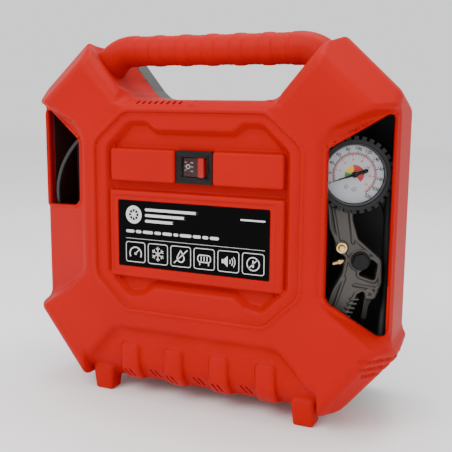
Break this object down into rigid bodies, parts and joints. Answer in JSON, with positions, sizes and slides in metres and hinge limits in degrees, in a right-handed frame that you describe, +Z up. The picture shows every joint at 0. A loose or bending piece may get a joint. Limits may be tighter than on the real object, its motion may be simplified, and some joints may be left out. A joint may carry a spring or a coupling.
{
  "type": "portable air compressor",
  "caption": "Upright suitcase-style air compressor with a tubular carry handle, side storage windows for a tyre gun and a mains cord, and a rocker switch.",
  "frame": {"origin": "on the floor, under the middle of the footprint", "axes": "+Z up, +X to the viewer's right when facing the switch panel, -Y out of the switch panel"},
  "size_m": [0.3748, 0.1446, 0.353],
  "materials": {
    "red_shell": "satin moulded",
    "grey_shell": "fine moulded texture",
    "screw_steel": "zinc",
    "black_liner": "matt",
    "label": "printed",
    "black_plastic": "matt",
    "rocker_red": "gloss",
    "clear_cover": "clear",
    "gauge_metal": "satin",
    "dial_white": "satin",
    "needle_black": "satin",
    "lens": "clear",
    "rubber_black": "matt",
    "cast_aluminium": "cast and painted grey",
    "bright_steel": "bright",
    "brass": "satin",
    "cord_black": "smooth",
    "laminations": "satin",
    "copper": "varnished",
    "carbon": "matt",
    "die_cast": "as cast",
    "gear_nylon": "moulded",
    "crank_iron": "machined",
    "seal_black": "matt",
    "plate_steel": "satin"
  },
  "bodies": {
    "compressor": {"front_shell": "red_shell", "carry_handle": "red_shell", "rear_shell": "grey_shell", "shell_screws": "screw_steel", "left_tray": "black_liner", "right_tray": "black_liner", "label_plate": "label", "switch_bezel": "black_plastic", "switch_cover": "clear_cover", "gauge_case": "gauge_metal", "gauge_dial": "dial_white", "gauge_lens": "lens", "gauge_boot": "rubber_black", "gun_body": "cast_aluminium", "trigger_pin": "bright_steel", "gun_brass": "brass", "gun_knob": "black_plastic", "hose_ferrule": "brass", "air_hose": "rubber_black", "hose_coil": "rubber_black", "outlet_fitting": "brass", "power_cord": "cord_black", "cord_coil": "cord_black", "cord_tail": "cord_black", "cord_gland": "black_plastic", "cord_plug": "black_plastic", "plug_pins": "bright_steel", "motor_stator": "laminations", "field_coils": "copper", "brushes": "carbon", "brush_holders": "brass", "motor_bracket": "die_cast", "bearings": "bright_steel", "cylinder": "die_cast", "valve_plate": "die_cast", "reed_valves": "bright_steel", "cylinder_head": "die_cast", "head_bolts": "screw_steel", "discharge_pipe": "copper", "safety_valve": "brass", "crankcase": "die_cast", "stator_cradle": "black_plastic", "base_plate": "plate_steel", "rubber_mounts": "rubber_black"},
    "rocker": {"switch_rocker": "rocker_red"},
    "needle": {"gauge_needle": "needle_black"},
    "trigger": {"gun_trigger": "cast_aluminium"},
    "button": {"bleed_button": "brass"},
    "rotor": {"motor_shaft": "bright_steel", "armature_core": "laminations", "commutator": "copper", "cooling_fan": "black_plastic", "motor_pinion": "bright_steel"},
    "crank": {"crankshaft": "crank_iron", "drive_gear": "gear_nylon"},
    "piston": {"piston": "die_cast", "piston_ring": "seal_black", "wrist_pin": "bright_steel"},
    "con_rod": {"connecting_rod": "die_cast", "rod_bearing": "bright_steel"}
  },
  "joints": [
    {"name": "switch_rock", "type": "hinge", "parent": "compressor", "child": "rocker", "pos_m": [0.0005, -0.06125, 0.2315], "axis": [0, 0, 1], "range_deg": [0, 20]},
    {"name": "gauge_needle_turn", "type": "hinge", "parent": "compressor", "child": "needle", "pos_m": [0.1427, -0.04425, 0.2304], "axis": [-0.3519, 0.936, 0], "range_deg": [0, 250], "stiffness_Nm_per_rad": 0.0004, "springref_deg": -11.46},
    {"name": "trigger_squeeze", "type": "hinge", "parent": "compressor", "child": "trigger", "pos_m": [0.15486, -0.02686, 0.1244], "axis": [-0.3519, 0.936, 0], "range_deg": [0, 14], "stiffness_Nm_per_rad": 0.4, "springref_deg": -14.32},
    {"name": "bleed_press", "type": "slide", "parent": "compressor", "child": "button", "axis": [-0.3519, 0.936, 0], "range_m": [0, 0.002], "stiffness_N_per_m": 300, "springref_m": -0.003},
    {"name": "crank_spin", "type": "hinge", "parent": "compressor", "child": "crank", "pos_m": [0.02, 0.01325, 0.1451], "axis": [1, 0, 0], "continuous": true},
    {"name": "motor_spin", "type": "hinge", "parent": "compressor", "child": "rotor", "pos_m": [-0.04, 0.01325, 0.1], "axis": [1, 0, 0], "continuous": true},
    {"name": "piston_slide", "type": "slide", "parent": "compressor", "child": "piston", "axis": [0, 0, -1], "range_m": [0, 0.028]},
    {"name": "rod_swing", "type": "hinge", "parent": "piston", "child": "con_rod", "pos_m": [0.054, 0.01325, 0.2191], "axis": [1, 0, 0], "range_deg": [-13, 13]}
  ],
  "couplings": [
    {"joint": "motor_spin", "follows": "crank_spin", "ratio": -4}
  ]
}
